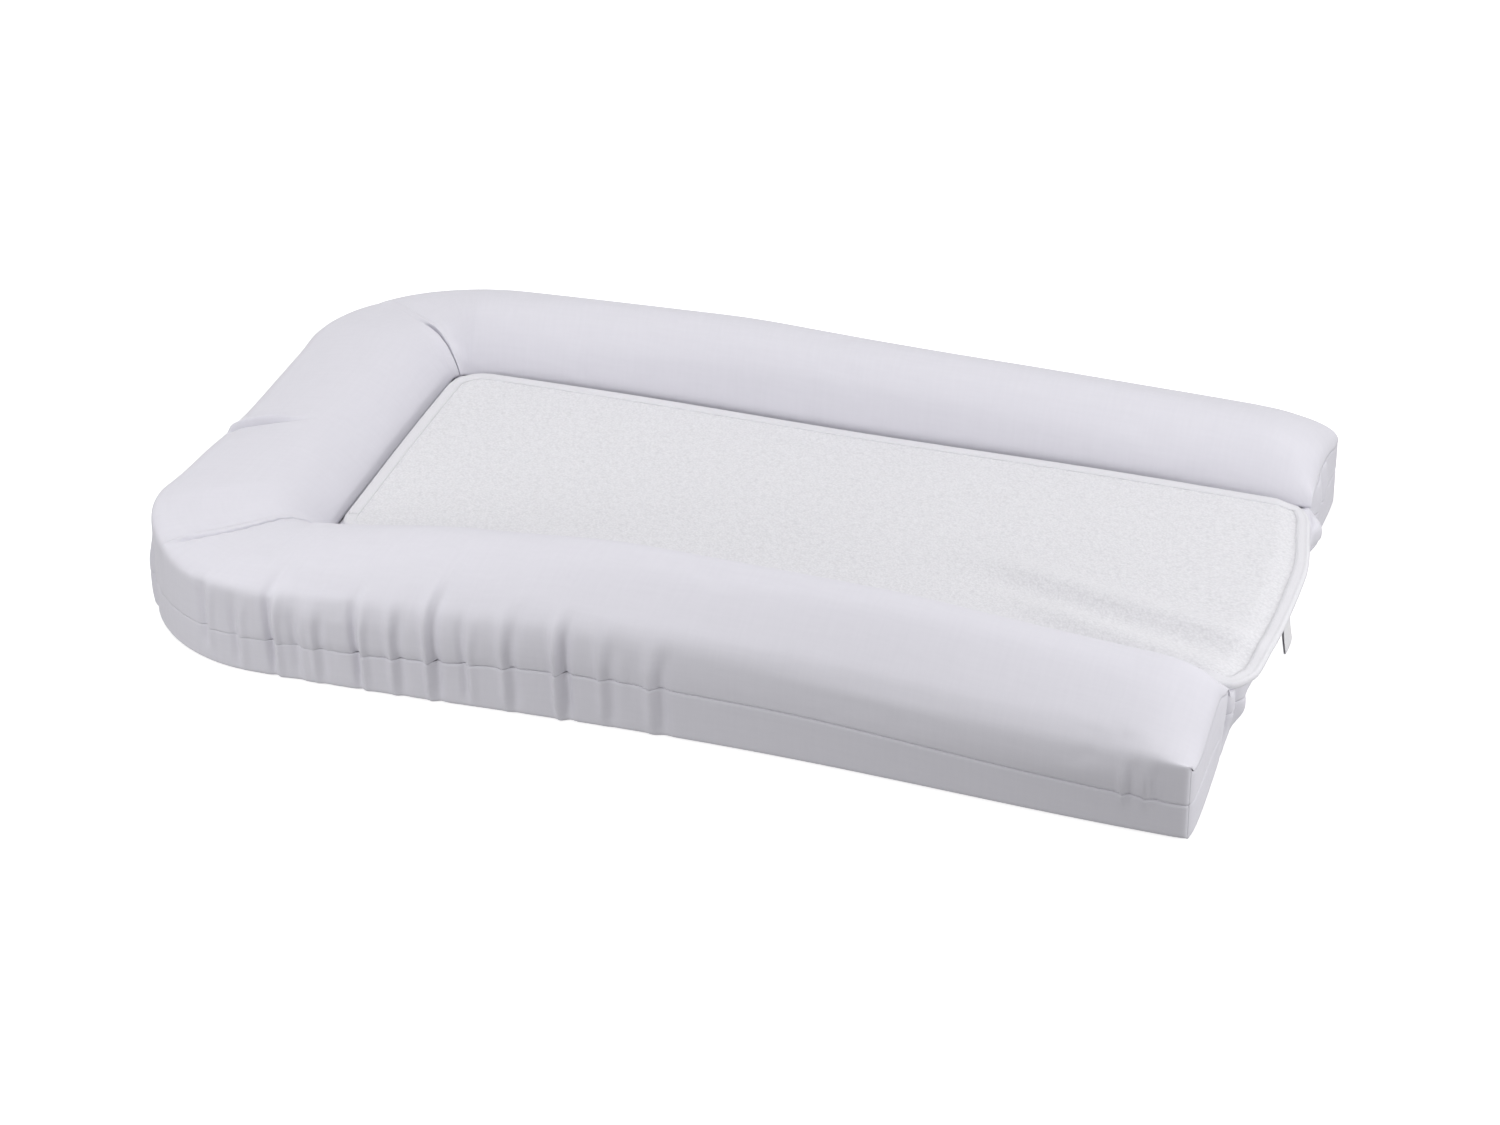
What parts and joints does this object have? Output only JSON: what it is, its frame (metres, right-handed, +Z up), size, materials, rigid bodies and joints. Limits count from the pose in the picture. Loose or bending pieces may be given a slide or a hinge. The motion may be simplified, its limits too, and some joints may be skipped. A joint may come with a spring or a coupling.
{
  "type": "changing pad",
  "caption": "Contoured baby changing pad: foam slab with a raised bolster on three sides, zipped liner, fitted cotton cover and a lift-off terry towel.",
  "frame": {"origin": "bottom centre of the whole object's box, on the surface that the pad rests on", "axes": "+X points to the open foot end, -X to the closed head end, +Y to the far side bolster, +Z up"},
  "size_m": [0.808, 0.488, 0.1035],
  "materials": {
    "cotton": "smooth plain-woven cotton, pale lavender grey",
    "terry": "looped terry, off-white",
    "binding": "cotton tape, off-white",
    "foam": "open-cell polyurethane foam, cream",
    "liner": "coated polyester, slightly glossy white",
    "elastic": "ribbed woven elastic",
    "label": "satin tape, blank",
    "zip_tape": "woven polyester tape",
    "zip_coil": "moulded nylon coil",
    "zip_metal": "nickel-plated zinc, satin",
    "hook_and_loop": "hook-and-loop tape"
  },
  "bodies": {
    "pad": {"base_foam_slab": "foam", "near_bolster_foam": "foam", "head_bolster_foam": "foam", "far_bolster_foam": "foam", "waterproof_liner": "liner", "zip_tape_front": "zip_tape", "zip_tape_rear": "zip_tape", "zip_coil_front": "zip_coil", "zip_coil_rear": "zip_coil", "zip_top_stop": "zip_metal", "zip_bottom_stop": "zip_metal", "cover_near_panel": "cotton", "cover_head_panel": "cotton", "cover_far_panel": "cotton", "cover_centre_panel": "cotton", "cover_foot_panel": "cotton", "cover_near_band": "cotton", "cover_head_band": "cotton", "cover_far_band": "cotton", "cover_foot_band": "cotton", "hem_elastic": "elastic", "care_label": "label", "hook_patch_near_head": "hook_and_loop", "hook_patch_far_head": "hook_and_loop", "hook_patch_near_foot": "hook_and_loop", "hook_patch_far_foot": "hook_and_loop"},
    "towel": {"terry_towel": "terry", "towel_binding": "binding", "loop_patch_near_head": "hook_and_loop", "loop_patch_far_head": "hook_and_loop", "loop_patch_near_foot": "hook_and_loop", "loop_patch_far_foot": "hook_and_loop"},
    "slider": {"zip_slider": "zip_metal"},
    "puller": {"zip_puller": "zip_metal"}
  },
  "joints": [
    {"name": "towel_lift", "type": "slide", "parent": "pad", "child": "towel", "axis": [0, 0, 1], "range_m": [0, 0.12]},
    {"name": "zip_travel", "type": "slide", "parent": "pad", "child": "slider", "axis": [0, -1, 0], "range_m": [0, 0.326]},
    {"name": "puller_swing", "type": "hinge", "parent": "slider", "child": "puller", "pos_m": [0.326, 0.163, 0.00235], "axis": [1, 0, 0], "range_deg": [0, 170]}
  ]
}
